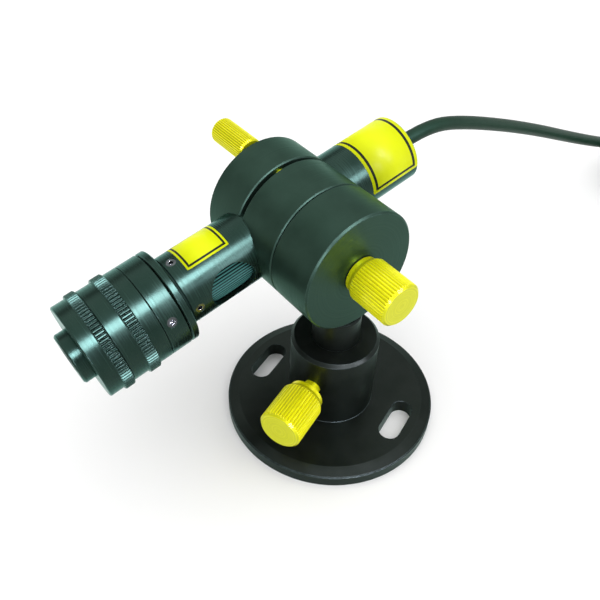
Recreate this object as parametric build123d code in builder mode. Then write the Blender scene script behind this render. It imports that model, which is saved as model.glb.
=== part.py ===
from build123d import *
import math
import os

os.makedirs("parts", exist_ok=True)

# Fits, in millimetres
slide_fit = 0.05  # radial clearance where pieces turn or slide in each other
seat_fit = 0.02  # radial clearance where a piece is pressed or screwed home
face_gap = 0.3  # gap between faces that pass each other
running_gap = 0.15  # gap between the head's turning faces
tip_gap = 0.1  # gap between a screw's tip and what it presses on

# Base disc with its socket
base_radius = 32.0
rim_height = 3.6  # upright edge of the disc
rim_slope = 3.3  # width of the sloping rim, seen from above
rim_step = 0.3  # small step where the slope meets the upright edge
plate_height = 4.6
boss_radius = 13.0
boss_height = 29.8
boss_chamfer = 0.9
socket_floor = 5.0
slot_width = 6.4
slot_length = 15.5
slot_spacing = 45.5

# Post and upper drum
post_radius = 7.0
post_foot = 9.0  # height of the post's lower end
post_chamfer = 0.8
post_neck_radius = 5.8  # the end inside the drum
axis_height = 58.3  # height of the drum's axis
drum_radius = 18.0
drum_chamfer = 0.5
seam_chamfer = 0.3
pivot_front = 6.9  # places along the drum's axis, from the post's centre line
seam_place = -7.8
cap_end = -36.95
slit_width = 1.4
tube_place = -23.2
post_set_height = 46.0
post_set_radius = 2.0
post_set_length = 5.0

# The upper part at rest, in degrees
yaw = -21.5  # how far the drum's axis is turned from the line of the slots
tilt = 11.75  # how far the beam points below level

# Thumb screws
screw_radius = 2.5
knob_radius = 6.35
knob_length = 15.2
knob_step = 1.1  # from the grip's radius down to the collar's
knob_collar_length = 1.3
knob_shoulder_length = 1.5
knob_flutes = 44
base_screw_height = 18.9
base_knob_place = 16.3  # from the post's centre line to the knob's collar
tilt_screw_reach = 3.5  # thread of the tilt screw in the clamp body
small_screw_radius = 1.5
small_knob_radius = 3.8
small_knob_length = 14.4
small_knob_step = 0.45
small_knob_collar_length = 0.3
small_knob_shoulder_length = 0.3
small_knob_flutes = 36
clamp_screw_offset = 15.2  # from the drum's axis to the clamp screw's
clamp_screw_reach = 8.0  # thread of the clamp screw in the clamp body
stud_depth = 8.0  # how far a stud goes into its knob
small_stud_depth = 6.0
flute_depth = 0.35

# Clamp
washer_radius = 9.0
washer_bore = 3.0
washer_thickness = 1.0
dowel_radius = 1.5
dowel_reach = 6.0  # in each half of the clamp
dowel_spread = 6.5
dowel_drop = 13.0

# Laser tube, with places along the beam from the drum's axis
tube_radius = 10.0
tube_bore = 8.8
tube_rear = -40.5
tube_front = 47.6
window_start = 19.3
window_length = 14.0
window_width = 11.6
grub_radius = 1.4
grub_socket = 1.3  # across the flats
grub_depth = 1.2
tube_grub_place = 37.2
tube_grub_count = 4
neck_length = 1.3  # bare neck of the tube behind the lock ring
neck_depth = 0.65
bush_start = 35.5
bush_bore = 4.5
rear_cap_thickness = 2.8
gland_radius = 3.5
gland_collar_radius = 4.4
gland_length = 4.0  # outside the tube

# Laser module inside the tube
holder_rear = -8.0
holder_face = 9.5
holder_nose = 16.0
holder_nose_radius = 5.95
diode_seat = 12.0
diode_radius = 2.8
diode_lead_circle = 1.27
sleeve_radius = 8.45
sleeve_flutes = 60
cell_start = 22.0
cell_length = 7.0
lens_radius = 3.6
lens_edge = 1.2
lens_bulge = 0.9
board_width = 13.0
board_thickness = 1.2
board_drop = 3.0  # below the tube's axis
board_rear = -34.8

# Head
head_radius = 13.5
ring_radius = 14.2
ring_flutes = 88
ring_flute_depth = 0.5
ring_chamfer = 0.25
head_chamfer = 0.25
running_chamfer = 0.1  # on the edges of the turning faces
lock_ring_start = 40.6
lock_ring_end = 42.6
barrel_end = 48.8
spigot_radius = 11.0
spigot_bore = 9.0
spigot_end = 65.2
head_grub_place = 46.2
head_grub_angle = 69.6  # from the top, towards the pivot drum
head_grub_count = 3
fan_ring_grip_start = 53.0
fan_ring_grip_end = 56.2
front_start = 60.8
front_grip_end = 63.7
front_face = 67.8
front_wall = 2.2
nose_radius = 7.2
nose_end = 71.1
nose_spigot_radius = 5.5
aperture_radius = 3.8
window_radius = 4.6
window_thickness = 1.2
carrier_start = 51.0
carrier_length = 6.0
carrier_bore = 5.0
rod_radius = 2.0
rod_length = 13.0

# Cord
cord_radius = 2.2
cord_straight = 13.8  # how far the cord's first run follows the tube's axis
coil_radius = 29.0  # outermost turn
coil_pitch = 4.9
coil_turns = 2  # in each layer
coil_layers = 4  # in, out, in and out again, from the top down
coil_layer = 5.1
coil_low = 3.0  # middle of the lowest turns
coil_top = coil_low + (coil_layers - 1) * coil_layer
# Places of the free cord: behind the post's centre line, and height
cord_route = [(77.0, 63.0), (112.0, 48.7), (150.0, 31.3), (181.0, coil_top), (199.0, coil_top)]
tail_swing = 5.0  # how far the last half turn swings out of the coil
plug_radius = 5.5
plug_taper_length = 12.0
plug_grip_length = 18.0
plug_barrel_radius = 2.75
plug_barrel_length = 9.5
plug_barrel_bore = 1.05
tie_width = 8.0
tie_thickness = 0.6
tie_gap = 0.3

# Frames: the upper part is turned by the yaw, and the clamp and tube dip by the tilt
up = Vector(0, 0, 1)
drum_dir = Vector(1, 0, 0).rotate(Axis.Z, yaw)
rear_dir = Vector(0, 1, 0).rotate(Axis.Z, yaw)
beam_dir = (rear_dir * -math.cos(math.radians(tilt))) - (up * math.sin(math.radians(tilt)))
drum_centre = up * axis_height
tube_centre = drum_centre + drum_dir * tube_place
pivot_frame = Plane(origin=drum_centre, x_dir=rear_dir, z_dir=drum_dir)
clamp_frame = Plane(origin=drum_centre, x_dir=beam_dir * -1, z_dir=drum_dir)
beam_frame = Plane(origin=tube_centre, x_dir=drum_dir, z_dir=beam_dir)
base_screw_frame = Plane(origin=up * base_screw_height, x_dir=(1, 0, 0), z_dir=(0, -1, 0))
clamp_screw_centre = drum_centre + clamp_frame.y_dir * clamp_screw_offset
clamp_screw_frame = Plane(origin=clamp_screw_centre, x_dir=clamp_frame.x_dir, z_dir=drum_dir * -1)


def lathe(frame, outline):
    """A turned solid: each point is a radius and a place along the frame's Z axis."""
    with BuildPart() as blank:
        with BuildSketch(Plane(origin=frame.origin, x_dir=frame.x_dir, z_dir=frame.y_dir * -1)):
            with BuildLine():
                Polyline(*outline, close=True)
            make_face()
        revolve(axis=Axis(frame.origin, frame.z_dir))
    return blank.part


def rod(frame, radius, start, end):
    """A plain round bar along the frame's Z axis."""
    return lathe(frame, [(0, start), (radius, start), (radius, end), (0, end)])


def fluted_bar(frame, count, radius, depth, start, end):
    """A bar with straight flutes: what it shares with a turned grip is the knurled grip."""
    crest = radius + depth / 2
    points = []
    for step in range(2 * count):
        reach = crest if step % 2 == 0 else radius - depth
        angle = math.pi * step / count
        points.append((reach * math.cos(angle), reach * math.sin(angle)))
    with BuildPart() as bar:
        with BuildSketch(frame.offset(start)):
            with BuildLine():
                Polyline(*points, close=True)
            make_face()
        extrude(amount=end - start)
    return bar.part


def thumb_knob(frame, start, radius, length, step, collar_length, shoulder_length, bore, bore_depth, flutes):
    """A knurled head: collar, sloping shoulder, fluted grip and chamfered end."""
    collar = radius - step
    shoulder = radius - 0.8 * step
    end_chamfer = 0.11 * radius
    outline = [
        (bore, start),
        (collar, start),
        (collar, start + collar_length),
        (shoulder, start + collar_length),
        (radius, start + collar_length + shoulder_length),
        (radius, start + length - end_chamfer),
        (radius - end_chamfer, start + length),
        (0, start + length),
        (0, start + bore_depth),
        (bore, start + bore_depth),
    ]
    with BuildPart() as knob:
        add(lathe(frame, outline))
        flutes_bar = fluted_bar(frame, flutes, radius, flute_depth, start - length, start + 2 * length)
        add(flutes_bar, mode=Mode.INTERSECT)
    return knob.part


def stud(frame, radius, start, end):
    """A screw's shank with a chamfered tip at its start."""
    chamfered = 0.3 * radius
    outline = [(0, start), (radius - chamfered, start), (radius, start + chamfered), (radius, end), (0, end)]
    return lathe(frame, outline)


def radial_frame(place, angle):
    """A frame on the beam's axis whose Z axis points out at an angle from the top."""
    outward = beam_frame.y_dir.rotate(Axis((0, 0, 0), tuple(beam_dir)), angle)
    return Plane(origin=tube_centre + beam_dir * place, x_dir=beam_dir, z_dir=outward)


def grub_screw(frame, radius, start, end, across, depth):
    """A headless screw with a hexagon socket in its outer end."""
    with BuildPart() as screw:
        add(stud(frame, radius, start, end))
        with BuildSketch(frame.offset(end)):
            RegularPolygon(across / 2, 6, major_radius=False)
        extrude(amount=-depth, mode=Mode.SUBTRACT)
    return screw.part


def write(part, name):
    """Labels a finished piece and writes its file."""
    part.label = name
    export_step(part, f"parts/{name}.step")


# Base disc: a turned flange with a socket, two slots and the thumb screw's hole
with BuildPart() as base_flange:
    add(
        lathe(
            Plane.XY,
            [
                (0, 0),
                (base_radius, 0),
                (base_radius, rim_height - rim_step),
                (base_radius - rim_step, rim_height - rim_step),
                (base_radius - rim_step, rim_height),
                (base_radius - rim_slope, plate_height),
                (boss_radius, plate_height),
                (boss_radius, boss_height - boss_chamfer),
                (boss_radius - boss_chamfer, boss_height),
                (post_radius + slide_fit, boss_height),
                (post_radius + slide_fit, socket_floor),
                (0, socket_floor),
            ],
        )
    )
    with BuildSketch(Plane.XY):
        with GridLocations(slot_spacing, 0, 2, 1):
            SlotOverall(slot_length, slot_width, rotation=90)
    extrude(amount=boss_height, mode=Mode.SUBTRACT)
    add(rod(base_screw_frame, screw_radius + slide_fit, 0, base_radius), mode=Mode.SUBTRACT)
write(base_flange.part, "base_flange")

# Thumb screw that holds the post in the socket
with BuildPart() as base_screw_stud:
    add(stud(base_screw_frame, screw_radius, post_radius + tip_gap, base_knob_place + stud_depth))
write(base_screw_stud.part, "base_screw_stud")

with BuildPart() as base_screw_knob:
    add(
        thumb_knob(
            base_screw_frame,
            base_knob_place,
            knob_radius,
            knob_length,
            knob_step,
            knob_collar_length,
            knob_shoulder_length,
            screw_radius + slide_fit,
            stud_depth + face_gap,
            knob_flutes,
        )
    )
write(base_screw_knob.part, "base_screw_knob")

# Post: slides in the socket and carries the pivot drum
post_top = axis_height - screw_radius - 2.0
post_shoulder = axis_height - drum_radius - face_gap
with BuildPart() as post:
    add(
        lathe(
            Plane.XY,
            [
                (0, post_foot),
                (post_radius - post_chamfer, post_foot),
                (post_radius, post_foot + post_chamfer),
                (post_radius, post_shoulder - seam_chamfer),
                (post_radius - seam_chamfer, post_shoulder),
                (post_neck_radius, post_shoulder),
                (post_neck_radius, post_top - post_chamfer),
                (post_neck_radius - post_chamfer, post_top),
                (0, post_top),
            ],
        )
    )
write(post.part, "post")

# Pivot drum: sits on the post and carries the tilt screw
pivot_rear = seam_place + face_gap / 2
post_set_frame = Plane(origin=up * post_set_height, x_dir=drum_dir, z_dir=rear_dir)
with BuildPart() as pivot_drum:
    add(
        lathe(
            pivot_frame,
            [
                (0, pivot_rear),
                (drum_radius - seam_chamfer, pivot_rear),
                (drum_radius, pivot_rear + seam_chamfer),
                (drum_radius, pivot_front - drum_chamfer),
                (drum_radius - drum_chamfer, pivot_front),
                (0, pivot_front),
            ],
        )
    )
    add(rod(pivot_frame, screw_radius + slide_fit, 2 * pivot_rear, 2 * pivot_front), mode=Mode.SUBTRACT)
    add(rod(Plane.XY, post_neck_radius + slide_fit, 0, post_top + face_gap), mode=Mode.SUBTRACT)
    add(rod(post_set_frame, post_set_radius + seat_fit, 0, drum_radius), mode=Mode.SUBTRACT)
write(pivot_drum.part, "pivot_drum")

with BuildPart() as post_set_screw:
    post_set_tip = post_neck_radius + tip_gap
    add(
        grub_screw(
            post_set_frame,
            post_set_radius,
            post_set_tip,
            post_set_tip + post_set_length,
            post_set_radius,
            0.4 * post_set_length,
        )
    )
write(post_set_screw.part, "post_set_screw")

# Tilt screw: goes through the pivot drum into the clamp body
clamp_seam = seam_place - face_gap / 2
tilt_knob_place = pivot_front + face_gap
with BuildPart() as tilt_screw_stud:
    add(stud(pivot_frame, screw_radius, clamp_seam - tilt_screw_reach, tilt_knob_place + stud_depth))
write(tilt_screw_stud.part, "tilt_screw_stud")

with BuildPart() as tilt_screw_knob:
    add(
        thumb_knob(
            pivot_frame,
            tilt_knob_place,
            knob_radius,
            knob_length,
            knob_step,
            knob_collar_length,
            knob_shoulder_length,
            screw_radius + slide_fit,
            stud_depth + face_gap,
            knob_flutes,
        )
    )
write(tilt_screw_knob.part, "tilt_screw_knob")

# Clamp body and cap: two drum slices that close on the tube across a slit
slit_near = tube_place + slit_width / 2
slit_far = tube_place - slit_width / 2
tube_hole = rod(beam_frame, tube_radius + slide_fit, -2 * drum_radius, 2 * drum_radius)
washer_seat = clamp_seam - washer_thickness + face_gap
clamp_half = -tube_place  # the slit's middle, along the clamp screw
clamp_tip = -slit_near - clamp_screw_reach
dowel_frames = []
for side in (-1, 1):
    dowel_spot = clamp_frame.x_dir * (side * dowel_spread) - clamp_frame.y_dir * dowel_drop
    dowel_frames.append(Plane(origin=drum_centre + dowel_spot, x_dir=clamp_frame.x_dir, z_dir=drum_dir))
with BuildPart() as clamp_body:
    add(
        lathe(
            clamp_frame,
            [
                (0, slit_near),
                (drum_radius - seam_chamfer, slit_near),
                (drum_radius, slit_near + seam_chamfer),
                (drum_radius, clamp_seam - seam_chamfer),
                (drum_radius - seam_chamfer, clamp_seam),
                (0, clamp_seam),
            ],
        )
    )
    add(tube_hole, mode=Mode.SUBTRACT)
    tilt_hole_end = clamp_seam - tilt_screw_reach - face_gap
    add(rod(clamp_frame, screw_radius + slide_fit, tilt_hole_end, clamp_seam), mode=Mode.SUBTRACT)
    add(rod(clamp_frame, washer_radius + seat_fit, washer_seat, clamp_seam), mode=Mode.SUBTRACT)
    add(rod(clamp_screw_frame, small_screw_radius + slide_fit, clamp_tip - face_gap, clamp_half), mode=Mode.SUBTRACT)
    for frame in dowel_frames:
        add(rod(frame, dowel_radius + seat_fit, slit_near, slit_near + dowel_reach + face_gap), mode=Mode.SUBTRACT)
write(clamp_body.part, "clamp_body")

with BuildPart() as friction_washer:
    washer_back = washer_seat + seat_fit
    washer_face = pivot_rear - slide_fit
    add(
        lathe(
            clamp_frame,
            [
                (washer_bore, washer_back),
                (washer_radius, washer_back),
                (washer_radius, washer_face),
                (washer_bore, washer_face),
            ],
        )
    )
write(friction_washer.part, "friction_washer")

with BuildPart() as clamp_dowels:
    for frame in dowel_frames:
        add(rod(frame, dowel_radius, slit_far - dowel_reach, slit_near + dowel_reach))
write(clamp_dowels.part, "clamp_dowels")

with BuildPart() as clamp_cap:
    add(
        lathe(
            clamp_frame,
            [
                (0, cap_end),
                (drum_radius - drum_chamfer, cap_end),
                (drum_radius, cap_end + drum_chamfer),
                (drum_radius, slit_far - seam_chamfer),
                (drum_radius - seam_chamfer, slit_far),
                (0, slit_far),
            ],
        )
    )
    add(tube_hole, mode=Mode.SUBTRACT)
    add(rod(clamp_screw_frame, small_screw_radius + slide_fit, clamp_half, -2 * cap_end), mode=Mode.SUBTRACT)
    for frame in dowel_frames:
        dowel_hole_end = slit_far - dowel_reach - face_gap
        add(rod(frame, dowel_radius + slide_fit, dowel_hole_end, slit_far), mode=Mode.SUBTRACT)
write(clamp_cap.part, "clamp_cap")

# Clamp screw: goes through the cap into the clamp body
clamp_knob_place = face_gap - cap_end
with BuildPart() as clamp_screw_stud:
    add(stud(clamp_screw_frame, small_screw_radius, clamp_tip, clamp_knob_place + small_stud_depth))
write(clamp_screw_stud.part, "clamp_screw_stud")

with BuildPart() as clamp_screw_knob:
    add(
        thumb_knob(
            clamp_screw_frame,
            clamp_knob_place,
            small_knob_radius,
            small_knob_length,
            small_knob_step,
            small_knob_collar_length,
            small_knob_shoulder_length,
            small_screw_radius + slide_fit,
            small_stud_depth + face_gap,
            small_knob_flutes,
        )
    )
write(clamp_screw_knob.part, "clamp_screw_knob")

# Laser tube with the focus window and the holes of its grub screws
tube_grub_frames = []
for index in range(tube_grub_count):
    tube_grub_frames.append(radial_frame(tube_grub_place, index * 360 / tube_grub_count))
window_middle = window_start + window_length / 2
window_frame = Plane(origin=tube_centre + beam_dir * window_middle, x_dir=beam_dir, z_dir=drum_dir)
neck_start = lock_ring_start - neck_length
neck_end = lock_ring_start + face_gap
with BuildPart() as laser_tube:
    add(
        lathe(
            beam_frame,
            [
                (tube_bore, tube_rear),
                (tube_radius - head_chamfer, tube_rear),
                (tube_radius, tube_rear + head_chamfer),
                (tube_radius, neck_start),
                (tube_radius - neck_depth, neck_start),
                (tube_radius - neck_depth, neck_end),
                (tube_radius, neck_end),
                (tube_radius, tube_front),
                (tube_bore, tube_front),
            ],
        )
    )
    with BuildSketch(window_frame):
        SlotOverall(window_length, window_width)
    extrude(amount=2 * tube_radius, mode=Mode.SUBTRACT)
    for frame in tube_grub_frames:
        add(rod(frame, grub_radius + seat_fit, 0, 2 * tube_radius), mode=Mode.SUBTRACT)
write(laser_tube.part, "laser_tube")

# Rear cap with the gland's hole
cap_face = tube_rear + face_gap
cap_inside = cap_face + rear_cap_thickness
with BuildPart() as rear_cap:
    add(
        lathe(
            beam_frame,
            [
                (gland_radius + slide_fit, cap_face),
                (tube_bore - seat_fit, cap_face),
                (tube_bore - seat_fit, cap_inside),
                (gland_radius + slide_fit, cap_inside),
            ],
        )
    )
write(rear_cap.part, "rear_cap")

# Cord gland: a moulded bush that snaps through the rear cap
gland_end = tube_rear - gland_length
with BuildPart() as cord_gland:
    add(
        lathe(
            beam_frame,
            [
                (0, gland_end),
                (cord_radius + 0.6, gland_end),
                (gland_collar_radius, tube_rear - 1.5),
                (gland_collar_radius, tube_rear),
                (gland_radius, tube_rear),
                (gland_radius, cap_inside + face_gap),
                (gland_collar_radius, cap_inside + face_gap),
                (gland_collar_radius, cap_inside + face_gap + 0.6),
                (gland_radius, cap_inside + face_gap + 1.4),
                (0, cap_inside + face_gap + 1.4),
            ],
        )
    )
write(cord_gland.part, "cord_gland")

# Front bush that the four grub screws hold in the tube
bush_end = tube_front - face_gap
with BuildPart() as front_bush:
    add(
        lathe(
            beam_frame,
            [
                (bush_bore, bush_start),
                (tube_bore - seat_fit, bush_start),
                (tube_bore - seat_fit, bush_end),
                (bush_bore, bush_end),
            ],
        )
    )
    for frame in tube_grub_frames:
        add(rod(frame, grub_radius + seat_fit, 0, 2 * tube_radius), mode=Mode.SUBTRACT)
write(front_bush.part, "front_bush")

with BuildPart() as tube_grub_screws:
    for frame in tube_grub_frames:
        add(grub_screw(frame, grub_radius, bush_bore + 1.5, tube_radius - 0.2, grub_socket, grub_depth))
write(tube_grub_screws.part, "tube_grub_screws")

# Driver board behind the diode holder, with its parts on it
board_front = holder_rear - 0.2
board_middle = (board_rear + board_front) / 2
board_frame = Plane(
    origin=tube_centre + beam_dir * board_middle - beam_frame.y_dir * board_drop,
    x_dir=beam_dir,
    z_dir=beam_frame.y_dir,
)
with BuildPart() as driver_board:
    with BuildSketch(board_frame):
        Rectangle(board_front - board_rear, board_width)
    extrude(amount=-board_thickness)
write(driver_board.part, "driver_board")

with BuildPart() as driver_parts:
    with BuildSketch(board_frame):
        with Locations((-3.0, -2.5)):
            Rectangle(5.0, 4.0)
    extrude(amount=1.5)
    with BuildSketch(board_frame):
        with Locations((6.5, 1.5)):
            Circle(2.5)
    extrude(amount=5.0)
    with BuildSketch(board_frame):
        with Locations((-9.0, 1.0)):
            Rectangle(4.2, 4.2)
    extrude(amount=3.2)
    with BuildSketch(board_frame):
        with Locations((-3.0, 3.8)):
            Rectangle(3.4, 1.8)
    extrude(amount=1.0)
write(driver_parts.part, "driver_parts")

# Diode holder: a brass plug with a nose that the focus sleeve turns on
lead_bore = diode_radius - 0.8
with BuildPart() as diode_holder:
    add(
        lathe(
            beam_frame,
            [
                (lead_bore, holder_rear),
                (tube_bore - seat_fit, holder_rear),
                (tube_bore - seat_fit, holder_face),
                (holder_nose_radius, holder_face),
                (holder_nose_radius, holder_nose),
                (diode_radius + seat_fit, holder_nose),
                (diode_radius + seat_fit, diode_seat),
                (lead_bore, diode_seat),
            ],
        )
    )
write(diode_holder.part, "diode_holder")

with BuildPart() as laser_diode:
    diode_flange = diode_seat + 1.2
    diode_top = diode_flange + 2.3
    can_radius = 0.84 * diode_radius
    add(
        lathe(
            beam_frame,
            [
                (0, diode_seat),
                (diode_radius, diode_seat),
                (diode_radius, diode_flange),
                (can_radius, diode_flange),
                (can_radius, diode_top),
                (0, diode_top),
            ],
        )
    )
    with BuildSketch(beam_frame.offset(diode_seat)):
        with PolarLocations(diode_lead_circle, 3):
            Circle(0.22)
    extrude(amount=-7.0)
write(laser_diode.part, "laser_diode")

# Focus sleeve: the fluted grip seen through the window
sleeve_start = holder_face + face_gap
sleeve_end = bush_start - face_gap
sleeve_bore = holder_nose_radius + slide_fit
with BuildPart() as focus_sleeve:
    add(
        lathe(
            beam_frame,
            [
                (sleeve_bore, sleeve_start),
                (sleeve_radius, sleeve_start),
                (sleeve_radius, sleeve_end),
                (sleeve_bore, sleeve_end),
            ],
        )
    )
    sleeve_bar = fluted_bar(beam_frame, sleeve_flutes, sleeve_radius, flute_depth, sleeve_start, sleeve_end)
    add(sleeve_bar, mode=Mode.INTERSECT)
write(focus_sleeve.part, "focus_sleeve")

# Lens cell: rides inside the sleeve and holds the collimating lens
cell_end = cell_start + cell_length
lens_seat = cell_start + 0.35 * cell_length
with BuildPart() as lens_cell:
    add(
        lathe(
            beam_frame,
            [
                (lens_radius - 0.5, cell_start),
                (sleeve_bore - slide_fit, cell_start),
                (sleeve_bore - slide_fit, cell_end),
                (lens_radius + seat_fit, cell_end),
                (lens_radius + seat_fit, lens_seat),
                (lens_radius - 0.5, lens_seat),
            ],
        )
    )
write(lens_cell.part, "lens_cell")

with BuildPart() as collimating_lens:
    with BuildSketch(Plane(origin=beam_frame.origin, x_dir=beam_frame.x_dir, z_dir=beam_frame.y_dir * -1)):
        with BuildLine():
            lens_rear = lens_seat + slide_fit
            lens_front = lens_rear + lens_edge
            Line((0, lens_rear), (lens_radius, lens_rear))
            Line((lens_radius, lens_rear), (lens_radius, lens_front))
            ball = (lens_radius**2 + lens_bulge**2) / (2 * lens_bulge)
            halfway = lens_radius / 2
            rise = math.sqrt(ball**2 - halfway**2) - (ball - lens_bulge)
            ThreePointArc((lens_radius, lens_front), (halfway, lens_front + rise), (0, lens_front + lens_bulge))
            Line((0, lens_front + lens_bulge), (0, lens_rear))
        make_face()
    revolve(axis=Axis(beam_frame.origin, beam_frame.z_dir))
write(collimating_lens.part, "collimating_lens")

# Head: lock ring and rear barrel on the tube's front end
with BuildPart() as head_lock_ring:
    add(
        lathe(
            beam_frame,
            [
                (tube_radius + seat_fit, lock_ring_start),
                (head_radius - head_chamfer, lock_ring_start),
                (head_radius, lock_ring_start + head_chamfer),
                (head_radius, lock_ring_end - head_chamfer),
                (head_radius - head_chamfer, lock_ring_end),
                (tube_radius + seat_fit, lock_ring_end),
            ],
        )
    )
write(head_lock_ring.part, "head_lock_ring")

head_grub_frames = []
for index in range(head_grub_count):
    head_grub_frames.append(radial_frame(head_grub_place, -head_grub_angle - index * 360 / head_grub_count))
barrel_start = lock_ring_end + face_gap
tube_stop = tube_front + 0.2
with BuildPart() as head_barrel:
    add(
        lathe(
            beam_frame,
            [
                (tube_radius + seat_fit, barrel_start),
                (head_radius - head_chamfer, barrel_start),
                (head_radius, barrel_start + head_chamfer),
                (head_radius, barrel_end - running_chamfer),
                (head_radius - running_chamfer, barrel_end),
                (spigot_radius, barrel_end),
                (spigot_radius, spigot_end),
                (spigot_bore, spigot_end),
                (spigot_bore, tube_stop),
                (tube_radius + seat_fit, tube_stop),
            ],
        )
    )
    for frame in head_grub_frames:
        add(rod(frame, grub_radius + seat_fit, tube_radius, 2 * head_radius), mode=Mode.SUBTRACT)
write(head_barrel.part, "head_barrel")

with BuildPart() as head_grub_screws:
    for frame in head_grub_frames:
        add(grub_screw(frame, grub_radius, tube_radius + tip_gap, head_radius - 0.2, grub_socket, grub_depth))
write(head_grub_screws.part, "head_grub_screws")

# Fan ring: the rear knurled ring with its smooth skirts
fan_start = barrel_end + running_gap
fan_end = front_start - running_gap
with BuildPart() as fan_ring:
    add(
        lathe(
            beam_frame,
            [
                (spigot_radius + slide_fit, fan_start),
                (head_radius - running_chamfer, fan_start),
                (head_radius, fan_start + running_chamfer),
                (head_radius, fan_ring_grip_start),
                (ring_radius - ring_chamfer, fan_ring_grip_start),
                (ring_radius, fan_ring_grip_start + ring_chamfer),
                (ring_radius, fan_ring_grip_end - ring_chamfer),
                (ring_radius - ring_chamfer, fan_ring_grip_end),
                (head_radius, fan_ring_grip_end),
                (head_radius, fan_end - running_chamfer),
                (head_radius - running_chamfer, fan_end),
                (spigot_radius + slide_fit, fan_end),
            ],
        )
    )
    fan_bar = fluted_bar(beam_frame, ring_flutes, ring_radius, ring_flute_depth, fan_start - 1, fan_end + 1)
    add(fan_bar, mode=Mode.INTERSECT)
write(fan_ring.part, "fan_ring")

# Line lens: a glass rod across a carrier that slides inside the spigot
carrier_end = carrier_start + carrier_length
rod_place = carrier_end - rod_radius - 0.5
line_rod_frame = Plane(origin=tube_centre + beam_dir * rod_place, x_dir=beam_dir, z_dir=drum_dir)
with BuildPart() as line_lens_carrier:
    add(
        lathe(
            beam_frame,
            [
                (carrier_bore, carrier_start),
                (spigot_bore - slide_fit, carrier_start),
                (spigot_bore - slide_fit, carrier_end),
                (carrier_bore, carrier_end),
            ],
        )
    )
    rod_seat = rod_length / 2 + 0.2
    add(rod(line_rod_frame, rod_radius + seat_fit, -rod_seat, rod_seat), mode=Mode.SUBTRACT)
write(line_lens_carrier.part, "line_lens_carrier")

with BuildPart() as line_lens:
    add(rod(line_rod_frame, rod_radius, -rod_length / 2, rod_length / 2))
write(line_lens.part, "line_lens")

# Front barrel with the front knurled ring, the nose and its glass
wall_inside = front_face - front_wall
with BuildPart() as front_barrel:
    add(
        lathe(
            beam_frame,
            [
                (spigot_radius + slide_fit, front_start),
                (ring_radius - ring_chamfer, front_start),
                (ring_radius, front_start + ring_chamfer),
                (ring_radius, front_grip_end - ring_chamfer),
                (ring_radius - ring_chamfer, front_grip_end),
                (head_radius, front_grip_end),
                (head_radius, front_face - head_chamfer),
                (head_radius - head_chamfer, front_face),
                (nose_spigot_radius, front_face),
                (nose_spigot_radius, wall_inside),
                (spigot_radius + slide_fit, wall_inside),
            ],
        )
    )
    front_bar = fluted_bar(beam_frame, ring_flutes, ring_radius, ring_flute_depth, front_start - 1, front_face + 1)
    add(front_bar, mode=Mode.INTERSECT)
write(front_barrel.part, "front_barrel")

glass_front = front_face + 0.8
with BuildPart() as nose_ring:
    nose_seat = front_face + seat_fit
    add(
        lathe(
            beam_frame,
            [
                (window_radius, wall_inside),
                (nose_spigot_radius - seat_fit, wall_inside),
                (nose_spigot_radius - seat_fit, nose_seat),
                (nose_radius, nose_seat),
                (nose_radius, nose_end - 2 * head_chamfer),
                (nose_radius - 2 * head_chamfer, nose_end),
                (aperture_radius + head_chamfer, nose_end),
                (aperture_radius, nose_end - head_chamfer),
                (aperture_radius, glass_front),
                (window_radius, glass_front),
            ],
        )
    )
write(nose_ring.part, "nose_ring")

with BuildPart() as front_window:
    glass_face = glass_front - slide_fit
    add(rod(beam_frame, window_radius - seat_fit, glass_face - window_thickness, glass_face))
write(front_window.part, "front_window")


# Cord: the free run from the gland down to the top of the coil
def behind(back, height):
    """A point of the upright plane through the tube."""
    return drum_dir * tube_place + rear_dir * back + up * height


cord_start = tube_centre + beam_dir * gland_end
cord_points = [cord_start, cord_start - beam_dir * cord_straight]
cord_points += [behind(back, height) for back, height in cord_route]
cord_runs = []
for near, far in zip(cord_points, cord_points[1:]):
    cord_runs.append((far - near).length)
cord_bends = []
for index in range(1, len(cord_points) - 1):
    before = (cord_points[index] - cord_points[index - 1]).normalized()
    after = (cord_points[index + 1] - cord_points[index]).normalized()
    turn = math.acos(max(-1.0, min(1.0, before.dot(after))))
    shorter = min(cord_runs[index - 1], cord_runs[index])
    cord_bends.append(0.45 * shorter / math.tan(turn / 2))
print("cord runs", [round(run, 1) for run in cord_runs])
print("cord bend radii", [round(bend, 1) for bend in cord_bends])

with BuildPart() as cord_lead:
    with BuildLine() as lead_path:
        FilletPolyline(*cord_points, radius=cord_bends)
    lead_length = lead_path.wire().length
    with BuildSketch(Plane(origin=cord_start, x_dir=drum_dir, z_dir=beam_dir * -1)):
        Circle(cord_radius)
    sweep()
write(cord_lead.part, "cord_lead")

# Cord coil: in along the top layer, down, out along the next, and so on to the surface
coil_start = behind(*cord_route[-1])
coil_centre = coil_start + rear_dir * (2 * cord_radius) + drum_dir * coil_radius


def coil_point(along, height):
    """A point of the coil's middle line, measured from its centre away from the drum's axis."""
    return coil_centre - drum_dir * along + up * (height - coil_top)


coil_inner = coil_radius - coil_turns * coil_pitch
coil_corners = [(coil_radius, coil_top)]
for layer in range(coil_layers):
    layer_height = coil_top - layer * coil_layer
    inward = layer % 2 == 0
    first_turn = coil_radius if inward else coil_inner
    spread = -coil_pitch if inward else coil_pitch
    for turn in range(coil_turns):
        coil_corners.append((-first_turn - turn * spread, layer_height))
        coil_corners.append((first_turn + (turn + 1) * spread, layer_height))
tail_height = plug_radius
coil_corners.append((-coil_radius - tail_swing, tail_height))

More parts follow.
